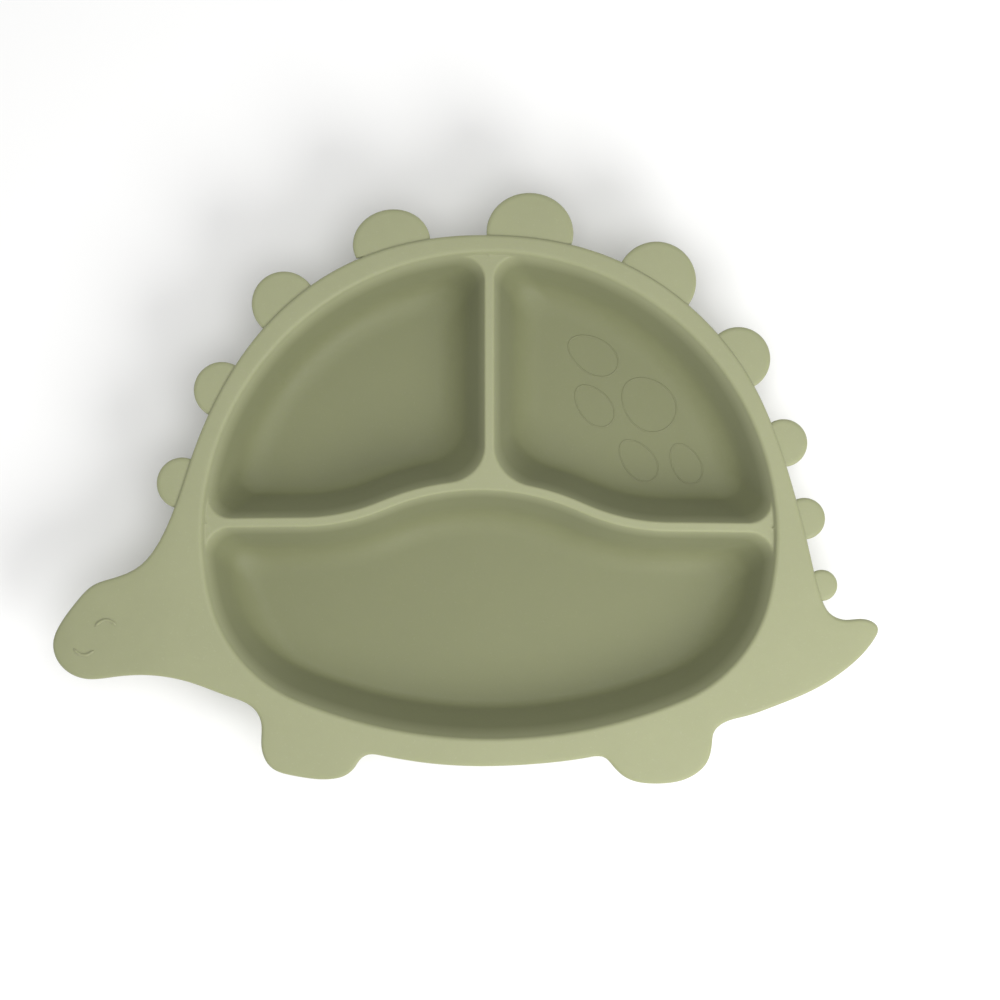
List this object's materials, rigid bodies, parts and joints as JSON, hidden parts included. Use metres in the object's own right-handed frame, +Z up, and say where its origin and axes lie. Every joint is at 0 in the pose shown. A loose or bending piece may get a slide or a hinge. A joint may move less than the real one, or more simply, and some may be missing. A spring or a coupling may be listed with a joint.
{
  "type": "divided suction plate",
  "caption": "Divided silicone suction dish in the outline of a dinosaur, with scooped compartments inside a raised rim and suction cups with release tabs beneath.",
  "frame": {"origin": "on the table under the middle of the outline's box", "axes": "+X from head to tail, +Y from feet to back, +Z up"},
  "size_m": [0.27, 0.1929, 0.036],
  "materials": {
    "plate_silicone": "matte sage green food-grade silicone",
    "cup_silicone": "softer satin sage green silicone"
  },
  "bodies": {
    "plate": {"plate_body": "plate_silicone", "cup_hub_head_back": "cup_silicone", "cup_hub_head_foot": "cup_silicone", "cup_hub_tail_back": "cup_silicone", "cup_hub_tail_foot": "cup_silicone"},
    "skirt_head_back": {"cup_skirt_head_back": "cup_silicone"},
    "tab_head_back": {"cup_tab_head_back": "cup_silicone"},
    "skirt_head_foot": {"cup_skirt_head_foot": "cup_silicone"},
    "tab_head_foot": {"cup_tab_head_foot": "cup_silicone"},
    "skirt_tail_back": {"cup_skirt_tail_back": "cup_silicone"},
    "tab_tail_back": {"cup_tab_tail_back": "cup_silicone"},
    "skirt_tail_foot": {"cup_skirt_tail_foot": "cup_silicone"},
    "tab_tail_foot": {"cup_tab_tail_foot": "cup_silicone"}
  },
  "joints": [
    {"name": "cup_press_head_back", "type": "slide", "parent": "plate", "child": "skirt_head_back", "axis": [0, 0, 1], "range_m": [0, 0.002]},
    {"name": "tab_lift_head_back", "type": "hinge", "parent": "skirt_head_back", "child": "tab_head_back", "pos_m": [-0.04977, 0.04177, 0.001], "axis": [0.7071, 0.7071, 0], "range_deg": [0, 50], "stiffness_Nm_per_rad": 0.003},
    {"name": "cup_press_head_foot", "type": "slide", "parent": "plate", "child": "skirt_head_foot", "axis": [0, 0, 1], "range_m": [0, 0.002]},
    {"name": "tab_lift_head_foot", "type": "hinge", "parent": "skirt_head_foot", "child": "tab_head_foot", "pos_m": [-0.04977, -0.05577, 0.001], "axis": [-0.7071, 0.7071, 0], "range_deg": [0, 50], "stiffness_Nm_per_rad": 0.003},
    {"name": "cup_press_tail_back", "type": "slide", "parent": "plate", "child": "skirt_tail_back", "axis": [0, 0, 1], "range_m": [0, 0.002]},
    {"name": "tab_lift_tail_back", "type": "hinge", "parent": "skirt_tail_back", "child": "tab_tail_back", "pos_m": [0.06577, 0.04177, 0.001], "axis": [0.7071, -0.7071, 0], "range_deg": [0, 50], "stiffness_Nm_per_rad": 0.003},
    {"name": "cup_press_tail_foot", "type": "slide", "parent": "plate", "child": "skirt_tail_foot", "axis": [0, 0, 1], "range_m": [0, 0.002]},
    {"name": "tab_lift_tail_foot", "type": "hinge", "parent": "skirt_tail_foot", "child": "tab_tail_foot", "pos_m": [0.06577, -0.05577, 0.001], "axis": [-0.7071, -0.7071, 0], "range_deg": [0, 50], "stiffness_Nm_per_rad": 0.003}
  ]
}
